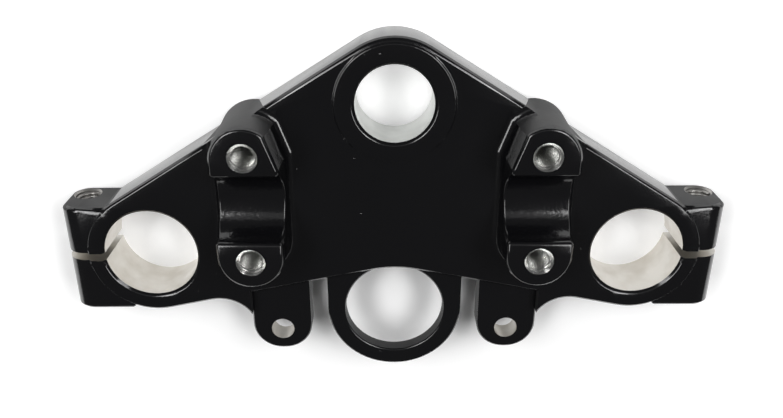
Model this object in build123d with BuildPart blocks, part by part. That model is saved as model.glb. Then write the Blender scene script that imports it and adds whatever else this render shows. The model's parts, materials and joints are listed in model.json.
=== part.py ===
from build123d import *
import os

# Upper triple clamp of a motorcycle, one aluminium casting: a kite-shaped plate with a stem boss behind,
# two split fork bosses, two cast handlebar risers, a key-switch ring and two instrument ears in front.
# The origin is on the steering axis at the seat under the stem boss. +Z is up and the front faces -Y.

# Driving dimensions of the plate and its bosses, in millimetres
fork_spacing = 163.0
fork_offset = 51.7
fork_bore = 31.0
fork_boss_radius = 21.5
fork_seat_step = 0.7
fork_boss_drop = 3.0
stem_bore = 25.0
stem_boss_radius = 21.0
stem_pad_radius = 19.4
stem_pad_height = 0.8
stem_pad_taper = 45.0
plate_height = 17.0
plate_top_break = 1.2
plate_foot_break = 1.6
chevron_offset = 56.8
chevron_round = 36.0

# Handlebar risers
riser_spacing = 91.0
riser_floor_land = 0.2
riser_top_width = 20.8
riser_foot_width = 24.6
riser_end_setback = 3.1
riser_flank_angle = 19.0
riser_flank_start = 2.5
riser_edge_break = 1.0
riser_blend_round = 2.7
bar_diameter = 22.2
bar_offset = 29.4
bar_bolt_gap = 6.4
bar_bolt_hole = 8.0
bar_bolt_depth = 22.0

# Instrument ears and key-switch ring, on a step below the plate's top
step_down = 3.5
ear_spacing = 79.0
ear_width = 20.6
ear_reach = 31.6
ear_tip_margin = 8.2
ear_corner = 9.8
ear_thickness = 7.5
ear_hole = 8.0
ear_web_round = 12.5
ear_web_inset = 1.9
ear_web_corner = 3.0
ear_ledge = 0.3
ear_root = 1.5
ring_offset = 75.4
ring_radius = 23.2
ring_bore = 34.0
ring_thickness = 4.8
ring_chamfer = 0.8

# Clamp lugs and the saw cut that splits each fork boss
lug_bolt_offset = 22.8
lug_bolt_thread = 8.0
lug_bolt_clearance = 0.6
lug_round = 6.2
lug_top_round = 6.8
lug_step_down = 0.9
lug_rear = 16.5
lug_front = 21.6
lug_inner_offset = 8.0
lug_edge_break = 1.3
slit_width = 2.6
slit_offset = 1.0

# Machined rims, small cast edges and the cored underside
bore_chamfer = 1.2
hole_chamfer = 0.6
chamfer_angle = 90.0
edge_break = 0.8
core_skin = 6.5
core_wall = 5.0
core_stem_wall = 6.0
core_riser_gap = 3.0
core_corner = 2.0
rib_width = 4.0
rib_angle = 42.0
edge_tolerance = 0.1

# Places worked out from them
fork_x = fork_spacing / 2
fork_foot = -fork_boss_drop
riser_floor = riser_blend_round + riser_edge_break + riser_floor_land
land_height = plate_height + riser_floor + bar_diameter / 2
pad_top = plate_height + stem_pad_height
step_height = plate_height - step_down
ear_foot = step_height - ear_thickness
ear_x = ear_spacing / 2
ear_inner = ear_x - ear_width / 2
ear_outer = ear_x + ear_width / 2
ear_hole_y = -fork_offset - ear_reach
ear_tip_y = ear_hole_y - ear_tip_margin
web_x = ear_outer - ear_web_inset
web_wall = ear_outer - ear_ledge
web_inner = ear_inner + 2 * ear_web_corner
riser_x = riser_spacing / 2
bar_bolt_spacing = bar_diameter + 2 * bar_bolt_gap
riser_length = bar_bolt_spacing - 2 * riser_end_setback + riser_foot_width
lug_bolt_x = fork_x + lug_bolt_offset
lug_bolt_z = fork_foot + lug_round
lug_inner = fork_x + lug_inner_offset
lug_outer = lug_bolt_x + lug_round
lug_top = plate_height - lug_step_down
slit_y = -fork_offset - slit_offset
core_half_width = riser_x - riser_foot_width / 2 - core_riser_gap
overrun = 2 * fork_spacing

# Construction lines of the plate: circles round the stem and a fork, their rear tangent, and the front edge
# that runs from the chevron's peak to the fork circle.
stem_circle = CenterArc((0, 0), stem_boss_radius, 0, 360).edge()
fork_circle = CenterArc((fork_x, -fork_offset), fork_boss_radius, 0, 360).edge()
chevron = Vector(0, -chevron_offset)
rear_edge = ConstrainedLines(stem_circle, fork_circle, selector=lambda lines: lines.sort_by(Axis.Y)[-1])
front_edge = ConstrainedLines(fork_circle, chevron, selector=lambda lines: lines.sort_by(Axis.Y)[0])
rear_near, rear_far = rear_edge.vertices().sort_by(Axis.X)
front_near, front_far = front_edge.vertices().sort_by(Axis.X)
front_slope = (front_far.Y - front_near.Y) / (front_far.X - front_near.X)


def front_y(x):
    return front_near.Y + front_slope * x


def plate_sketch(height, with_webs):
    with BuildSketch(Plane.XY.offset(height)) as outline:
        with BuildLine():
            RadiusArc((0, stem_boss_radius), rear_near, stem_boss_radius)
            Line(rear_near, rear_far)
            RadiusArc(rear_far, front_far, fork_boss_radius)
            if with_webs:
                FilletPolyline(
                    front_far,
                    (web_x, front_y(web_x)),
                    (web_x, ear_tip_y),
                    (web_inner, ear_tip_y),
                    (web_inner, front_y(web_inner)),
                    chevron,
                    radius=(ear_web_round, ear_web_corner, ear_web_corner, ear_web_corner),
                )
            else:
                Line(front_far, chevron)
            mirror(about=Plane.YZ)
        make_face()
        peak = outline.vertices().sort_by_distance(chevron + Vector(0, 0, height))[0]
        fillet(peak, chevron_round)
    return outline.sketch


def rimmed_bore(x, y, top, radius, rim):
    with Locations((x, y, top)):
        CounterSinkHole(radius, radius + rim, counter_sink_angle=chamfer_angle)


# Upper half of the plate with the webs that carry the ears. The room for each ear is cut up to the front edge
# and the web, and then the top edge is broken, all but the walls of the webs.
with BuildPart() as plate_top:
    extrude(plate_sketch(plate_height, with_webs=True), amount=ear_foot - plate_height)
    with BuildSketch(Plane.XY.offset(ear_foot)):
        with BuildLine():
            Polyline(
                (ear_inner, front_y(ear_inner)),
                (ear_inner, ear_tip_y),
                (web_wall, ear_tip_y),
                (web_wall, front_y(web_wall)),
                close=True,
            )
        make_face()
        mirror(about=Plane.YZ)
    extrude(amount=plate_height, mode=Mode.SUBTRACT)
    top_edge = plate_top.faces().sort_by(Axis.Z)[-1].edges()
    chamfer(top_edge.filter_by(Axis.Y, reverse=True), plate_top_break)

# Lower half of the plate, without the webs.
with BuildPart() as plate_foot:
    extrude(plate_sketch(0, with_webs=False), amount=ear_foot)
    chamfer(plate_foot.faces().sort_by(Axis.Z)[0].edges(), plate_foot_break)

# One instrument ear below the step, from the plate's front edge to its rounded tip.
with BuildPart() as ear:
    with BuildSketch(Plane.XY.offset(step_height)):
        with BuildLine():
            ear_sides = FilletPolyline(
                (ear_outer, front_y(ear_outer) + ear_root),
                (ear_outer, ear_tip_y),
                (ear_inner, ear_tip_y),
                (ear_inner, front_y(ear_inner) + ear_root),
                radius=ear_corner,
            )
            Line(ear_sides @ 1, ear_sides @ 0)
        make_face()
    extrude(amount=-ear_thickness)
    rim = ear.faces().sort_by(Axis.Z)[-1].edges().sort_by(Axis.Y)[:-1]
    chamfer(rim, edge_break)

# One riser from the seat plane up: drafted sides, a flank cut back behind the saddle on the inner side, a
# half-round saddle for the bar and broken edges.
with BuildPart() as riser:
    for height, width in ((0, riser_foot_width), (land_height, riser_top_width)):
        with BuildSketch(Plane((riser_x, -bar_offset, height))):
            SlotOverall(riser_length, width, rotation=90)
            flank_foot = (-width / 2, bar_diameter / 2 + riser_flank_start)
            with Locations(Location(flank_foot, -riser_flank_angle)):
                Rectangle(width, riser_length, align=(Align.MAX, Align.MIN), mode=Mode.SUBTRACT)
    loft()
    with Locations(Location((riser_x, -bar_offset, land_height), (0, 90, 0))):
        Cylinder(bar_diameter / 2, overrun, mode=Mode.SUBTRACT)
    upper_edges = riser.edges().filter_by_position(Axis.Z, plate_height, land_height + edge_tolerance)
    chamfer(upper_edges, riser_edge_break)
    chamfer(riser.faces().sort_by(Axis.Z)[0].edges(), riser_edge_break)

# The riser with the blend round its foot, which is kept where the plate is under it.
with BuildPart() as blended_riser:
    with BuildSketch(Plane((riser_x, -bar_offset, plate_height))):
        pad_margin = 2 * (riser_blend_round + edge_tolerance)
        SlotOverall(riser_length + pad_margin, riser_foot_width + pad_margin, rotation=90)
    extrude(amount=-riser_blend_round)
    add(riser.part)
    foot_level = (plate_height - edge_tolerance, plate_height + edge_tolerance)
    fillet(blended_riser.edges(Select.NEW).filter_by_position(Axis.Z, *foot_level), riser_blend_round)
    trim = plate_sketch(plate_height - riser_blend_round, with_webs=False)
    extrude(trim, amount=2 * riser_blend_round, mode=Mode.INTERSECT)
    add(riser.part)

# One clamp lug outside the fork boss, rounded about its bolt.
with BuildPart() as lug:
    with BuildSketch(Plane.XZ.offset(fork_offset - lug_rear)):
        with BuildLine():
            FilletPolyline(
                (lug_inner, fork_foot),
                (lug_outer, fork_foot),
                (lug_outer, lug_top),
                (lug_inner, lug_top),
                radius=(lug_round, lug_top_round),
            )
            Line((lug_inner, lug_top), (lug_inner, fork_foot))
        make_face()
    extrude(amount=lug_rear + lug_front)
    chamfer(lug.faces().filter_by(Axis.Y).edges(), lug_edge_break)

# One fork boss below the plate's top.
with BuildPart() as fork_boss:
    with BuildSketch(Plane((fork_x, -fork_offset, fork_foot))):
        Circle(fork_boss_radius - fork_seat_step)
    extrude(amount=ear_foot - fork_foot)
    chamfer(fork_boss.edges().sort_by(Axis.Z)[0], edge_break)

# The key-switch ring, a U in plan that runs back into the plate's front wall.
with BuildPart() as ring:
    with BuildSketch(Plane.XY.offset(step_height)):
        with Locations((0, -ring_offset)):
            Circle(ring_radius)
        with Locations((0, -(ring_offset + chevron_offset) / 2)):
            Rectangle(2 * ring_radius, ring_offset - chevron_offset)
    extrude(amount=-ring_thickness)
    chamfer(ring.faces().filter_by(Axis.Z).edges().filter_by(Axis.X, reverse=True), edge_break)

# Underside core between the risers, behind the front wall and round the stem boss, with two ribs.
with BuildPart() as core:
    with BuildSketch():
        add(plate_foot.faces().sort_by(Axis.Z)[-1].moved(Location((0, 0, -ear_foot))))
        offset(amount=-core_wall, kind=Kind.INTERSECTION)
        Rectangle(2 * core_half_width, overrun, mode=Mode.INTERSECT)
        Circle(stem_bore / 2 + core_stem_wall, mode=Mode.SUBTRACT)
        for angle in (-rib_angle, rib_angle):
            with Locations(Location((0, 0), angle)):
                Rectangle(rib_width, overrun, mode=Mode.SUBTRACT)
    extrude(amount=plate_height - core_skin)
    fillet(core.edges().filter_by(Axis.Z), core_corner)

with BuildPart() as top_yoke:
    add(plate_top.part)
    add(plate_foot.part)
    for casting in (blended_riser, ear, lug, fork_boss):
        add(casting.part)
        add(mirror(casting.part, about=Plane.YZ, mode=Mode.PRIVATE))
    add(ring.part)

    # Raised pad round the stem bore
    with BuildSketch(Plane.XY.offset(plate_height)):
        Circle(stem_pad_radius)
    extrude(amount=stem_pad_height, taper=stem_pad_taper)

    add(core.part, mode=Mode.SUBTRACT)

    # Stem, ring and fork bores with a broken upper rim, and the plain holes of the ears
    rimmed_bore(0, 0, pad_top, stem_bore / 2, bore_chamfer)
    rimmed_bore(0, -ring_offset, step_height, ring_bore / 2, ring_chamfer)
    for side in (-1, 1):
        rimmed_bore(side * fork_x, -fork_offset, plate_height, fork_bore / 2, bore_chamfer)
        with Locations((side * ear_x, ear_hole_y, step_height)):
            Hole(ear_hole / 2)

    # Threaded holes for the handlebar clamps
    bar_bolt_radius = bar_bolt_hole / 2
    with Locations((0, -bar_offset, land_height)):
        with GridLocations(riser_spacing, bar_bolt_spacing, 2, 2):
            CounterSinkHole(bar_bolt_radius, bar_bolt_radius + hole_chamfer, bar_bolt_depth, chamfer_angle)

    # Saw cut through each fork boss and lug, and the pinch bolt across it: threaded behind, clear in front
    thread_radius = lug_bolt_thread / 2
    thread_depth = lug_rear + slit_offset
    for side in (-1, 1):
        with Locations((side * (fork_x + lug_outer) / 2, slit_y, 0)):
            Box(lug_outer - fork_x + lug_round, slit_width, overrun, mode=Mode.SUBTRACT)
        rear_face = Plane((side * lug_bolt_x, lug_rear - fork_offset, lug_bolt_z), z_dir=(0, 1, 0))
        front_face = Plane((side * lug_bolt_x, -lug_front - fork_offset, lug_bolt_z), z_dir=(0, -1, 0))
        with Locations(rear_face):
            CounterSinkHole(thread_radius, thread_radius + hole_chamfer, thread_depth, chamfer_angle)
        with Locations(front_face):
            Hole(thread_radius + lug_bolt_clearance / 2, lug_front - slit_offset)
top_yoke.part.label = "top_yoke"

os.makedirs("parts", exist_ok=True)
export_step(top_yoke.part, "parts/top_yoke.step")
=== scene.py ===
# %% [markdown]
# A motorcycle's top yoke joins both fork legs, the steering stem and the handlebar. It is one
# aluminium casting, painted gloss black, and its bores are machined bare afterwards. The CAD model
# already holds the true shape, so this lesson dresses that shape: it sorts painted skin from bare
# metal, adds the threads, and sets up a table-top studio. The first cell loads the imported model,
# which stays fixed, and keeps its box.

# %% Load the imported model
import json
import math
from collections import namedtuple

import bmesh
import bpy
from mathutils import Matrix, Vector


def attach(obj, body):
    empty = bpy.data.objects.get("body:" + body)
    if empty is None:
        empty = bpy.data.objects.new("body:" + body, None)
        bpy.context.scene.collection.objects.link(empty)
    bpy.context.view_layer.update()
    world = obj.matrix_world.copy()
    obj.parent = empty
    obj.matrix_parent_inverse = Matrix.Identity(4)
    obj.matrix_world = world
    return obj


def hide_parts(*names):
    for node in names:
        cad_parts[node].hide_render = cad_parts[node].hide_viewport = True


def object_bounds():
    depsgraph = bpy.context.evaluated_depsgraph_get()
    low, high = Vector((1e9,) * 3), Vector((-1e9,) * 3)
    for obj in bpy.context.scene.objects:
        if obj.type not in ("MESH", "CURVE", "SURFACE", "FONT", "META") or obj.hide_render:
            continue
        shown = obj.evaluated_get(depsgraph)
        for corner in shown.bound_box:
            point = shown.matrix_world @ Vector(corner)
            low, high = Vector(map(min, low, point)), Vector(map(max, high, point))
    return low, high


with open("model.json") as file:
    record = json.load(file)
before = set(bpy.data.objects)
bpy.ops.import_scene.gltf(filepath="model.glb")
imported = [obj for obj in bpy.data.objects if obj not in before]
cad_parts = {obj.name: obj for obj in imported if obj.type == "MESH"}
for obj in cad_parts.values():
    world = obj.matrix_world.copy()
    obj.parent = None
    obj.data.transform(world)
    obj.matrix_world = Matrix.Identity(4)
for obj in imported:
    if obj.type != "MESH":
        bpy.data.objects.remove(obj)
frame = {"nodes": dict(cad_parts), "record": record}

cad_box = [list(corner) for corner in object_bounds()]
print("CAD box in metres:", cad_box)

# %% [markdown]
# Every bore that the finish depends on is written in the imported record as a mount, with a point on
# its axis, the axis and a radius. Places could be typed in again by hand, but reading them keeps
# the looks tied to the CAD: a bolt pattern is spread out into its single holes, and each hole
# becomes one small tuple.

# %% Read the bores from the record
MM = 0.001
Hole = namedtuple("Hole", "centre axis radius")
mounts = {mount["name"]: mount for mount in frame["record"]["mounts"]}


def hole_places(name):
    mount = mounts[name]
    dims = mount["dims"]
    centre = Vector(mount["pos_m"])
    axis = Vector(mount["axis"])
    if mount["kind"] != "bolt_pattern":
        return [Hole(centre, axis, dims["r_mm"] * MM)]
    half_x = dims["spacing_x_mm"] * MM / 2
    half_y = dims.get("spacing_y_mm", 0) * MM / 2
    offsets = {(x, y) for x in (-half_x, half_x) for y in (-half_y, half_y)}
    return [Hole(centre + Vector((x, y, 0)), axis, dims["hole_r_mm"] * MM)
            for x, y in sorted(offsets)]


stem_bore = hole_places("stem_bore")[0]
ring_bore = hole_places("key_switch_ring")[0]
fork_bores = hole_places("left_fork_clamp") + hole_places("right_fork_clamp")
bar_holes = hole_places("handlebar_bolts")
ear_holes = hole_places("instrument_ears")
pinch_threads = hole_places("pinch_bolt_threads")
pinch_entries = hole_places("pinch_bolt_entries")
bare_bores = [stem_bore] + fork_bores + bar_holes + ear_holes + pinch_threads + pinch_entries
print("bare bores and holes read from the record:", len(bare_bores))

# %% [markdown]
# Materials are built from nodes. They could be set up one line at a time, but one small function
# that adds a node, sets its settings and joins its inputs lets each finish below read as a list.
# Colours are written as sRGB hex values, as a designer picks them, and one function turns them
# into the linear values that the shader needs.

# %% Helpers for nodes and colours


def linear(hex_colour):
    # the standard sRGB curve, for red, green and blue
    channels = [int(hex_colour[i:i + 2], 16) / 255 for i in (1, 3, 5)]
    curve = [c / 12.92 if c <= 0.04045 else ((c + 0.055) / 1.055) ** 2.4 for c in channels]
    return curve + [1.0]


def add_node(tree, kind, settings=None, inputs=None):
    node = tree.nodes.new(kind)
    for key, value in (settings or {}).items():
        setattr(node, key, value)
    for key, value in (inputs or {}).items():
        if isinstance(value, bpy.types.NodeSocket):
            tree.links.new(value, node.inputs[key])
        else:
            node.inputs[key].default_value = value
    return node


def new_material(name):
    material = bpy.data.materials.new(name)
    material.use_nodes = True
    material.node_tree.nodes.clear()
    return material, material.node_tree


WHITE = linear("#ffffff")
print("white in linear light:", WHITE)

# %% [markdown]
# The skin is black stoved enamel over a sand casting. The enamel flows out glossy, so steep walls
# mirror the pale table, while the flat top stays nearly black. What is left of the sand shows as a
# faint orange peel a few millimetres wide with finer grain in it, the gloss varies slowly from
# place to place, and a few dust nibs are caught in the paint. These could be modelled, but they are
# about a tenth of a millimetre high at most, so bump gives them. The rear ends of the risers and
# lugs and the walls of the ring and ears were left as they came from the sand, so the same enamel
# is duller there. In the bar seats it lies on a finer, pitted skin that clamping has rubbed. One
# function makes all three finishes.

# %% Black stoved enamel on a sand casting
ENAMEL_BLACK = "#0b0b0d"
ENAMEL_IOR = 1.6
GLOSS_DRIFT_MM = 30.0
GRAIN_MM = 0.8
GRAIN_DEPTH_MM = 0.02
NIB_SPACING_MM = 6.5
NIB_RADIUS_MM = 0.38
NIB_HEIGHT_MM = 0.12
# most of a noise pattern lies between these two values
NOISE_LOW, NOISE_HIGH = 0.3, 0.7


def stoved_enamel(name, peel_mm, peel_depth_mm, glossiest, dullest):
    material, tree = new_material(name)
    place = add_node(tree, "ShaderNodeTexCoord").outputs["Object"]
    peel = add_node(tree, "ShaderNodeTexNoise", None, {
        "Vector": place,
        "Scale": 1 / (peel_mm * MM),
        "Detail": 2.0,
        "Roughness": 0.45,
    })
    drift = add_node(tree, "ShaderNodeTexNoise", None, {
        "Vector": place,
        "Scale": 1 / (GLOSS_DRIFT_MM * MM),
        "Detail": 3.0,
    })
    gloss = add_node(tree, "ShaderNodeMapRange", None, {
        "Value": drift.outputs["Fac"],
        "From Min": NOISE_LOW,
        "From Max": NOISE_HIGH,
        "To Min": glossiest,
        "To Max": dullest,
    })
    specks = add_node(tree, "ShaderNodeTexVoronoi", None, {
        "Vector": place,
        "Scale": 1 / (NIB_SPACING_MM * MM),
    })
    nibs = add_node(tree, "ShaderNodeMapRange", {"interpolation_type": "SMOOTHSTEP"}, {
        "Value": specks.outputs["Distance"],
        "From Min": 0.0,
        "From Max": NIB_RADIUS_MM / NIB_SPACING_MM,
        "To Min": 1.0,
        "To Max": 0.0,
    })
    grain = add_node(tree, "ShaderNodeTexNoise", None, {
        "Vector": place,
        "Scale": 1 / (GRAIN_MM * MM),
        "Detail": 2.0,
        "Roughness": 0.5,
    })
    skin = add_node(tree, "ShaderNodeBump", None, {
        "Height": peel.outputs["Fac"],
        "Strength": 1.0,
        "Distance": peel_depth_mm * MM,
    })
    sandy = add_node(tree, "ShaderNodeBump", None, {
        "Height": grain.outputs["Fac"],
        "Strength": 1.0,
        "Distance": GRAIN_DEPTH_MM * MM,
        "Normal": skin.outputs["Normal"],
    })
    nibbed = add_node(tree, "ShaderNodeBump", None, {
        "Height": nibs.outputs["Result"],
        "Strength": 1.0,
        "Distance": NIB_HEIGHT_MM * MM,
        "Normal": sandy.outputs["Normal"],
    })
    paint = add_node(tree, "ShaderNodeBsdfPrincipled", None, {
        "Base Color": linear(ENAMEL_BLACK),
        "Roughness": gloss.outputs["Result"],
        "IOR": ENAMEL_IOR,
        "Normal": nibbed.outputs["Normal"],
    })
    add_node(tree, "ShaderNodeOutputMaterial", None, {"Surface": paint.outputs["BSDF"]})
    return material


enamel = stoved_enamel("black_stoved_enamel_on_sand_casting",
                       peel_mm=2.6, peel_depth_mm=0.012, glossiest=0.11, dullest=0.19)
dull_enamel = stoved_enamel("black_stoved_enamel_on_raw_sand_skin",
                            peel_mm=1.6, peel_depth_mm=0.02, glossiest=0.56, dullest=0.68)
rubbed_enamel = stoved_enamel("black_stoved_enamel_on_rubbed_seat",
                              peel_mm=1.1, peel_depth_mm=0.06, glossiest=0.11, dullest=0.17)
print("made", [finish.name for finish in (enamel, dull_enamel, rubbed_enamel)])

# %% [markdown]
# The bores, the saw cuts and the tapped holes are bare aluminium as the tool left it: pale,
# slightly warm, and with fine feed lines round each bore. One even grey would look like paint, so
# stains vary the colour and the gloss, and a wave pattern draws the lines. They are about 0.2 mm
# apart on the real part, which is finer than a pixel, so they are drawn 0.7 mm apart here. A tap
# burnishes its thread, so the bar-bolt holes are brighter and smoother than the bores. The
# pinch-bolt holes are painted darker and duller: painted shade for the inside of these deep holes.
# The reamed stem bore is cooler in colour. A metal keeps the default IOR.

# %% Machined aluminium
FEED_MM = 0.7
FEED_DEPTH_MM = 0.03
FEED_STRENGTH = 0.25
# a wave texture multiplies the scaled place by 20 to get the angle of its wave
WAVE_FACTOR = 20
STAIN_MM = 12.0
STAIN_LIMITS = (0.32, 0.62)


def cut_aluminium(name, stained, clean, dullest, glossiest):
    material, tree = new_material(name)
    place = add_node(tree, "ShaderNodeTexCoord").outputs["Object"]
    feed = add_node(tree, "ShaderNodeTexWave", {"bands_direction": "Z"}, {
        "Vector": place,
        "Scale": 2 * math.pi / (WAVE_FACTOR * FEED_MM * MM),
        "Distortion": 0.6,
        "Detail": 2.0,
        "Detail Scale": 3.0,
    })
    stain = add_node(tree, "ShaderNodeTexNoise", None, {
        "Vector": place,
        "Scale": 1 / (STAIN_MM * MM),
        "Detail": 3.0,
        "Roughness": 0.55,
    })
    tint = add_node(tree, "ShaderNodeValToRGB", None, {"Fac": stain.outputs["Fac"]})
    for stop, limit, colour in zip(tint.color_ramp.elements, STAIN_LIMITS, (stained, clean)):
        stop.position = limit
        stop.color = linear(colour)
    rough = add_node(tree, "ShaderNodeMapRange", None, {
        "Value": stain.outputs["Fac"],
        "From Min": NOISE_LOW,
        "From Max": NOISE_HIGH,
        "To Min": dullest,
        "To Max": glossiest,
    })
    grooves = add_node(tree, "ShaderNodeBump", None, {
        "Height": feed.outputs["Fac"],
        "Strength": FEED_STRENGTH,
        "Distance": FEED_DEPTH_MM * MM,
    })
    bare = add_node(tree, "ShaderNodeBsdfPrincipled", None, {
        "Base Color": tint.outputs["Color"],
        "Metallic": 1.0,
        "Roughness": rough.outputs["Result"],
        "Normal": grooves.outputs["Normal"],
    })
    add_node(tree, "ShaderNodeOutputMaterial", None, {"Surface": bare.outputs["BSDF"]})
    return material


bored_metal = cut_aluminium("bored_aluminium",
                            stained="#c2bdb4", clean="#d6d3cd", dullest=0.36, glossiest=0.28)
reamed_metal = cut_aluminium("reamed_aluminium",
                             stained="#c6c8c5", clean="#d8dad7", dullest=0.36, glossiest=0.28)
tapped_metal = cut_aluminium("tapped_aluminium",
                             stained="#d0d0ce", clean="#e4e4e2", dullest=0.26, glossiest=0.18)
# painted shade: the pinch-bolt holes take a much darker, duller copy of the metal for their dark
# insides
shaded_pinch_metal = cut_aluminium("tapped_aluminium_painted_shade",
                            stained="#8a8885", clean="#a6a4a1", dullest=0.46, glossiest=0.36)
print("made", [finish.name for finish in (bored_metal, reamed_metal, tapped_metal, shaded_pinch_metal)])

# %% [markdown]
# The casting itself is a copy of the CAD node, so no surface moves. The CAD mesh is loose triangles,
# so the copy's corners are merged first. Finishes could be picked by hand, face by face, but a test
# still works when the CAD changes. Most finishes follow a hole. A face is a hole's wall when all its
# corners lie at the hole's radius and it looks at the axis, and it is a hole's countersink when it
# slopes just outside that radius.

# %% Copy the casting and test a face against a hole
MERGE = 2e-6
FIT = 0.12 * MM
COUNTERSINK = 0.6 * MM
# a slope is how much of a face's normal lies along an axis, from 0 for none to 1 for all of it
WALL_SLOPE = 0.1
COUNTERSINK_SLOPE = (0.5, 0.9)
casting = bmesh.new()
casting.from_mesh(frame["nodes"]["top_yoke"].data)
bmesh.ops.remove_doubles(casting, verts=casting.verts, dist=MERGE)


def from_axis(point, hole):
    spoke = point - hole.centre
    return spoke - hole.axis * spoke.dot(hole.axis)


def is_wall(face, hole):
    spokes = [from_axis(corner.co, hole) for corner in face.verts]
    if any(abs(spoke.length - hole.radius) > FIT for spoke in spokes):
        return False
    looks_inwards = face.normal.dot(sum(spokes, Vector())) < 0
    return looks_inwards and abs(face.normal.dot(hole.axis)) < WALL_SLOPE


def is_countersink(face, hole):
    outside = [from_axis(corner.co, hole).length - hole.radius for corner in face.verts]
    if not all(-FIT < step < COUNTERSINK + FIT for step in outside):
        return False
    return COUNTERSINK_SLOPE[0] < face.normal.dot(hole.axis) < COUNTERSINK_SLOPE[1]


print("casting:", len(casting.verts), "corners,", len(casting.faces), "triangles")

# %% [markdown]
# Two finishes follow a place instead of a hole. The saw cuts that split the fork clamps are bare
# metal: their faces look straight to the front or the rear, on the outer side of a fork bore and
# close to its axis. The raw sand skin is on the walls of the ring and ears, in front of the plate,
# and on the rear ends of the risers and lugs.

# %% Test a face for a saw cut and for raw sand skin
SAW_OFFSET = 1.0 * MM
SAW_REACH = 1.6 * MM
# a cut starts at this share of the bore's radius
SAW_START = 0.9
SAW_SLOPE = 0.999
TOP_SLOPE = 0.5
REAR_SLOPE = 0.35
RAW_FRONT = -58.5 * MM
RAW_HALF_WIDTH = 53.0 * MM
RISER_REAR = -20.0 * MM
RISER_END = 12.5 * MM
LUG_BACK = 2.0 * MM
LUG_HALF_WIDTH = 12.5 * MM
rear_bar_holes = [hole for hole in bar_holes if hole.centre.y > RISER_REAR]


def is_saw_cut(face):
    middle = face.calc_center_median()
    for bore in fork_bores:
        outwards = math.copysign(1, bore.centre.x) * (middle.x - bore.centre.x)
        beyond_bore = outwards > SAW_START * bore.radius
        in_cut = abs(middle.y - bore.centre.y + SAW_OFFSET) < SAW_REACH
        if beyond_bore and in_cut and abs(face.normal.y) > SAW_SLOPE:
            return True
    return False


def is_on_lug(point, hole):
    behind = point.y > hole.centre.y - LUG_BACK
    return behind and abs(point.x - hole.centre.x) < LUG_HALF_WIDTH


def is_raw_skin(face):
    if face.normal.z > TOP_SLOPE:
        return False
    middle = face.calc_center_median()
    if middle.y < RAW_FRONT and abs(middle.x) < RAW_HALF_WIDTH:
        return True
    if face.normal.y < REAR_SLOPE:
        return False
    on_riser = any(from_axis(middle, hole).length < RISER_END for hole in rear_bar_holes)
    return on_riser or any(is_on_lug(middle, hole) for hole in pinch_threads)


print("saw-cut triangles:", sum(is_saw_cut(face) for face in casting.faces))

# %% [markdown]
# Now every face gets its finish. The holes come first, because they are the surest to tell. The bar
# seats count as one more hole, with its axis along the handlebar, level with the tops of the risers:
# the record's bolt points lie a countersink's depth below those. What is left over is glossy enamel.

# %% Sort the faces by finish
BAR_RADIUS = 11.1 * MM
finishes = [enamel, dull_enamel, rubbed_enamel,
            bored_metal, reamed_metal, tapped_metal, shaded_pinch_metal]
GLOSSY, DULL, RUBBED, BORED, REAMED, TAPPED, PINCH_SHADED = range(len(finishes))
bolt_middle = sum((hole.centre for hole in bar_holes), Vector()) / len(bar_holes)
bar_seat = Hole(bolt_middle + Vector((0, 0, COUNTERSINK)), Vector((1, 0, 0)), BAR_RADIUS)


def finish_of(face):
    if any(is_wall(face, hole) or is_countersink(face, hole) for hole in bar_holes):
        return TAPPED
    # the pinch-bolt holes get the darker metal, painted shade for their deep insides
    if any(is_wall(face, hole) or is_countersink(face, hole) for hole in pinch_threads):
        return PINCH_SHADED
    if is_wall(face, stem_bore):
        return REAMED
    if is_saw_cut(face) or any(is_wall(face, hole) for hole in bare_bores):
        return BORED
    if is_wall(face, bar_seat):
        return RUBBED
    return DULL if is_raw_skin(face) else GLOSSY


for face in casting.faces:
    face.smooth = True
    face.material_index = finish_of(face)
chosen = [face.material_index for face in casting.faces]
for index, finish in enumerate(finishes):
    print("triangles of", finish.name, chosen.count(index))

# %% [markdown]
# Cast edges are small rounds that catch a line of light, while machined rims are crisp. A bevel
# could round the edges, but the CAD model already holds them as narrow chamfers. So each such strip
# is cut in two along its length, and the shading can roll on to its middle from one big face and
# roll off to the other one. Edges stay sharp only where a rim meets metal or where two faces meet
# steeply.

# %% Rolling edges and sharp rims
BORDER_TURN = math.radians(18)
STRIP_WIDTH = 2.4 * MM
STEEP = math.radians(52)
RIM_TURN = math.radians(25)


def turn_at(edge):
    # an edge with one face only has no turn, and counts as flat
    return edge.calc_face_angle(0.0)


def is_strip(face):
    borders = [edge for edge in face.edges if turn_at(edge) > BORDER_TURN]
    # a triangle's area doubled, over one side, is its height on that side
    return len(borders) == 1 and 2 * face.calc_area() / borders[0].calc_length() < STRIP_WIDTH


def is_sharp(edge):
    at_metal = any(face.material_index >= BORED for face in edge.link_faces)
    return turn_at(edge) > STEEP or (turn_at(edge) > RIM_TURN and at_metal)


strips = {face for face in casting.faces if is_strip(face)}
rungs = [edge for edge in casting.edges
         if turn_at(edge) <= BORDER_TURN and all(face in strips for face in edge.link_faces)]
bmesh.ops.subdivide_edges(casting, edges=rungs, cuts=1)
bmesh.ops.triangulate(casting, faces=[face for face in casting.faces if len(face.verts) > 3])
for edge in casting.edges:
    edge.smooth = not is_sharp(edge)
sharp_count = sum(not edge.smooth for edge in casting.edges)
print("triangles:", len(casting.faces), "sharp edges:", sharp_count)

# %% [markdown]
# The sorted copy becomes the casting that is seen, and it stands for the CAD node. Its normals could
# be averaged evenly, but then the narrow strips would pull the flat faces out of true. The Weighted
# Normal modifier lets each big flat face keep its own normal, so all of the turn lies in the strips.

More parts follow.
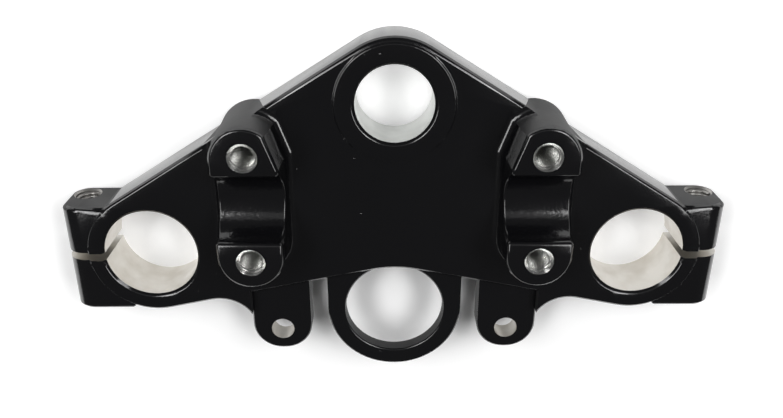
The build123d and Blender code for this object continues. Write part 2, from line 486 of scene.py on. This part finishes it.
# %% Place the casting
yoke_mesh = bpy.data.meshes.new("yoke_casting")
casting.to_mesh(yoke_mesh)
casting.free()
for finish in finishes:
    yoke_mesh.materials.append(finish)
yoke = bpy.data.objects.new("yoke_casting", yoke_mesh)
bpy.context.scene.collection.objects.link(yoke)
weighting = yoke.modifiers.new("weighted_normals", "WEIGHTED_NORMAL")
weighting.keep_sharp = True
weighting.mode = "FACE_AREA"
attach(yoke, "root")
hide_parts("top_yoke")
print("placed", yoke.name)

# %% [markdown]
# The four holes in the risers and the rear halves of the two pinch-bolt holes are tapped M8. A
# thread could be a bump pattern, but the ridges show at the mouth of each hole, so they are real: a
# small blunt wedge is spun round the axis and goes down a little at each step, which makes a helix
# of the 1.25 mm pitch. Its foot is sunk a little into the hole's wall, and it is narrower than the
# pitch, so that one turn doesn't touch the next.

# %% Tap the threads
PITCH_MM = 1.25
RIDGE_MM = 0.62
FOOT_SUNK_MM = 0.02
# the ridge starts this far below the hole's mouth, in pitches
FIRST_PITCHES = 0.6
HALF_FOOT_PITCHES = 0.48
# the crest's width, as a share of the foot's
CREST_SHARE = 0.1
STEPS_PER_TURN = 20
FOOT_TURN = math.radians(70)
BAR_THREAD_MM = 21.0
PINCH_THREAD_MM = 15.6


def thread_ridge(name, hole, depth_mm, finish):
    ridge = bmesh.new()
    across = Vector((1, 0, 0))
    turns = depth_mm / PITCH_MM - 1
    start = hole.centre - hole.axis * (FIRST_PITCHES * PITCH_MM * MM)
    foot = hole.radius + FOOT_SUNK_MM * MM
    crest = hole.radius - RIDGE_MM * MM
    half_foot = HALF_FOOT_PITCHES * PITCH_MM * MM
    half_crest = CREST_SHARE * half_foot
    wedge = [(foot, half_foot), (crest, half_crest), (crest, -half_crest), (foot, -half_foot)]
    corners = [ridge.verts.new(start + across * r + hole.axis * h) for r, h in wedge]
    blank = ridge.faces.new(corners)
    bmesh.ops.spin(ridge, geom=[blank], cent=start, axis=hole.axis, angle=2 * math.pi * turns,
                   dvec=-hole.axis * PITCH_MM * MM / STEPS_PER_TURN,
                   steps=int(turns * STEPS_PER_TURN))
    open_edges = [edge for edge in ridge.edges if edge.is_boundary]
    bmesh.ops.holes_fill(ridge, edges=open_edges, sides=len(wedge))
    bmesh.ops.recalc_face_normals(ridge, faces=ridge.faces)
    for face in ridge.faces:
        face.smooth = True
    for edge in ridge.edges:
        edge.smooth = turn_at(edge) < FOOT_TURN
    mesh = bpy.data.meshes.new(name)
    ridge.to_mesh(mesh)
    ridge.free()
    mesh.materials.append(finish)
    thread = bpy.data.objects.new(name, mesh)
    bpy.context.scene.collection.objects.link(thread)
    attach(thread, "root")
    return thread


threads = [thread_ridge(f"bar_thread_{i}", hole, BAR_THREAD_MM, tapped_metal)
           for i, hole in enumerate(bar_holes, 1)]
threads += [thread_ridge(f"pinch_thread_{i}", hole, PINCH_THREAD_MM, shaded_pinch_metal)
            for i, hole in enumerate(pinch_threads, 1)]
print("threads:", [(thread.name, len(thread.data.polygons)) for thread in threads])

# %% [markdown]
# The yoke lies on a plain white table, a sweep of white paper. More lamps could make it white, but
# they would bleach the yoke too. So the paper's own colour carries most of the white, and a little
# light of its own, for the camera and for reflections, lifts it to a clean background. That glow is
# painted light: for the camera it is least round the key-switch ring, where the yoke's shadow is
# kept, and elsewhere it washes the yoke's shadow out, as on the paper seen through the stem bore.
# Far away it grows, until the table fades into the white room.

# %% White paper
PAPER_WHITE = "#f4f4f4"
SHADOW_SQUEEZE = 0.4
NEAR_LIFT = 0.5
NEAR_REACH = (0.02, 0.09)
FAR_LIFT = 0.6
FAR_REACH = (0.3, 1.0)
MIRRORED_LIFT = 0.32
paper, paper_tree = new_material("white_paper_sweep")
paper_ray = add_node(paper_tree, "ShaderNodeLightPath")
spot = add_node(paper_tree, "ShaderNodeTexCoord").outputs["Object"]
squeezed = add_node(paper_tree, "ShaderNodeVectorMath", {"operation": "MULTIPLY"},
                    {0: spot, 1: (SHADOW_SQUEEZE, 1, 1)})
from_ring = add_node(paper_tree, "ShaderNodeVectorMath", {"operation": "DISTANCE"},
                     {0: squeezed.outputs["Vector"], 1: ring_bore.centre})
# painted light on the paper: none round the ring, growing outwards, so it lightens the yoke's shadow
# there
near = add_node(paper_tree, "ShaderNodeMapRange", None, {
    "Value": from_ring.outputs["Value"],
    "From Min": NEAR_REACH[0],
    "From Max": NEAR_REACH[1],
    "To Min": 0.0,
    "To Max": NEAR_LIFT,
})
far = add_node(paper_tree, "ShaderNodeMapRange", None, {
    "Value": from_ring.outputs["Value"],
    "From Min": FAR_REACH[0],
    "From Max": FAR_REACH[1],
    "To Min": 0.0,
    "To Max": FAR_LIFT,
})
seen = add_node(paper_tree, "ShaderNodeMath", {"operation": "MULTIPLY"},
                {0: paper_ray.outputs["Is Camera Ray"], 1: near.outputs["Result"]})
mirrored = add_node(paper_tree, "ShaderNodeMath", {"operation": "MULTIPLY_ADD"}, {
    0: paper_ray.outputs["Is Glossy Ray"],
    1: MIRRORED_LIFT,
    2: seen.outputs["Value"],
})
either = add_node(paper_tree, "ShaderNodeMath", {"operation": "MAXIMUM"}, {
    0: paper_ray.outputs["Is Camera Ray"],
    1: paper_ray.outputs["Is Glossy Ray"],
})
lift = add_node(paper_tree, "ShaderNodeMath", {"operation": "MULTIPLY_ADD"}, {
    0: either.outputs["Value"],
    1: far.outputs["Result"],
    2: mirrored.outputs["Value"],
})
sheet = add_node(paper_tree, "ShaderNodeBsdfDiffuse", None, {"Color": linear(PAPER_WHITE)})
glow = add_node(paper_tree, "ShaderNodeEmission", None,
                {"Color": WHITE, "Strength": lift.outputs["Value"]})
both = add_node(paper_tree, "ShaderNodeAddShader", None,
                {0: sheet.outputs["BSDF"], 1: glow.outputs["Emission"]})
add_node(paper_tree, "ShaderNodeOutputMaterial", None, {"Surface": both.outputs["Shader"]})
print("made", paper.name)

# %% [markdown]
# The table is one flat square, large enough to pass out of every view. It lies at the lowest point
# of the CAD box, so the yoke rests on it. It is no part of the object.

# %% Lay the table
TABLE_HALF = 4.0
floor_shape = bmesh.new()
bmesh.ops.create_grid(floor_shape, x_segments=1, y_segments=1, size=TABLE_HALF)
bmesh.ops.translate(floor_shape, verts=floor_shape.verts, vec=(0, 0, cad_box[0][2]))
floor_mesh = bpy.data.meshes.new("table")
floor_shape.to_mesh(floor_mesh)
floor_shape.free()
floor_mesh.materials.append(paper)
floor = bpy.data.objects.new("table", floor_mesh)
bpy.context.scene.collection.objects.link(floor)
print("table at", cad_box[0][2])

# %% [markdown]
# Black gloss shows the room more than its own colour, so the room decides the look. A bright room
# would turn the black grey. So this one is nearly dark, and only the camera sees it as a white
# backdrop.

# %% Dark room with a white backdrop
ROOM_LEVEL = 0.08
world = bpy.data.worlds.new("room")
bpy.context.scene.world = world
world.use_nodes = True
room_tree = world.node_tree
room_tree.nodes.clear()
room_ray = add_node(room_tree, "ShaderNodeLightPath")
level = add_node(room_tree, "ShaderNodeMath", {"operation": "MAXIMUM"},
                 {0: room_ray.outputs["Is Camera Ray"], 1: ROOM_LEVEL})
room = add_node(room_tree, "ShaderNodeBackground", None,
                {"Color": WHITE, "Strength": level.outputs["Value"]})
add_node(room_tree, "ShaderNodeOutputWorld", None, {"Surface": room.outputs["Background"]})
print("room level:", ROOM_LEVEL)

# %% [markdown]
# Two soft boxes stand high on the left and right and two more at the back corners. Rounded edges
# catch them as lines of light and the shadow falls to the front, while the flat top mirrors the dark
# ceiling in front. One lamp overhead would be simpler, but the bar seats would mirror it as a bright
# band. A dim panel high at the back lights the tapped holes.

# %% Soft boxes
AIM = Vector((0.0, -0.035, 0.0))
LAMP_DISTANCE = 1.2
# rise over the table and swing to the back in degrees, size in metres, power in watts
LAMPS = {
    "side": {"rise": 55, "swing": 10, "size": (0.7, 0.3), "power": 5.0},
    "corner": {"rise": 47, "swing": 41, "size": (0.45, 0.5), "power": 4.0},
}
PANEL_PLACE = Vector((0.0, 1.0, 1.5))
PANEL_SIZE = (1.4, 0.7)
PANEL_POWER = 1.0


def soft_box(name, place, size, power):
    light = bpy.data.lights.new(name, "AREA")
    light.shape = "RECTANGLE"
    light.size, light.size_y = size
    light.energy = power
    box = bpy.data.objects.new(name, light)
    bpy.context.scene.collection.objects.link(box)
    box.location = place
    box.rotation_euler = (AIM - place).to_track_quat("-Z", "Y").to_euler()


for kind, lamp in LAMPS.items():
    rise, swing = math.radians(lamp["rise"]), math.radians(lamp["swing"])
    for side, side_name in ((-1, "right"), (1, "left")):
        sideways = side * math.cos(rise) * math.cos(swing)
        back = math.cos(rise) * math.sin(swing)
        place = AIM + LAMP_DISTANCE * Vector((sideways, back, math.sin(rise)))
        soft_box(f"{kind}_box_{side_name}", place, lamp["size"], lamp["power"])
soft_box("back_panel", PANEL_PLACE, PANEL_SIZE, PANEL_POWER)
print("lamps:", [light.name for light in bpy.data.lights])

# %% [markdown]
# The camera stands close above the stem side and looks down and forward. Its place, tilt and lens
# could be judged by eye, but they were fitted to the bores as they appear in the picture, so the
# same corner of the part falls on the same pixel.

# %% Camera
CAMERA_PLACE_MM = (-3.06, 70.84, 249.45)
CAMERA_TURNS_DEG = (-24.529, -0.521, -0.038)
SENSOR_MM = 36.0
LENS_MM = 36.03
NEAREST = 0.01
camera_data = bpy.data.cameras.new("camera")
camera_data.sensor_width = SENSOR_MM
camera_data.lens = LENS_MM
camera_data.clip_start = NEAREST
camera = bpy.data.objects.new("camera", camera_data)
bpy.context.scene.collection.objects.link(camera)
camera.location = [step * MM for step in CAMERA_PLACE_MM]
camera.rotation_euler = [math.radians(turn) for turn in CAMERA_TURNS_DEG]
bpy.context.scene.camera = camera
bpy.context.scene.view_settings.view_transform = "Standard"
print("camera at", list(camera.location))
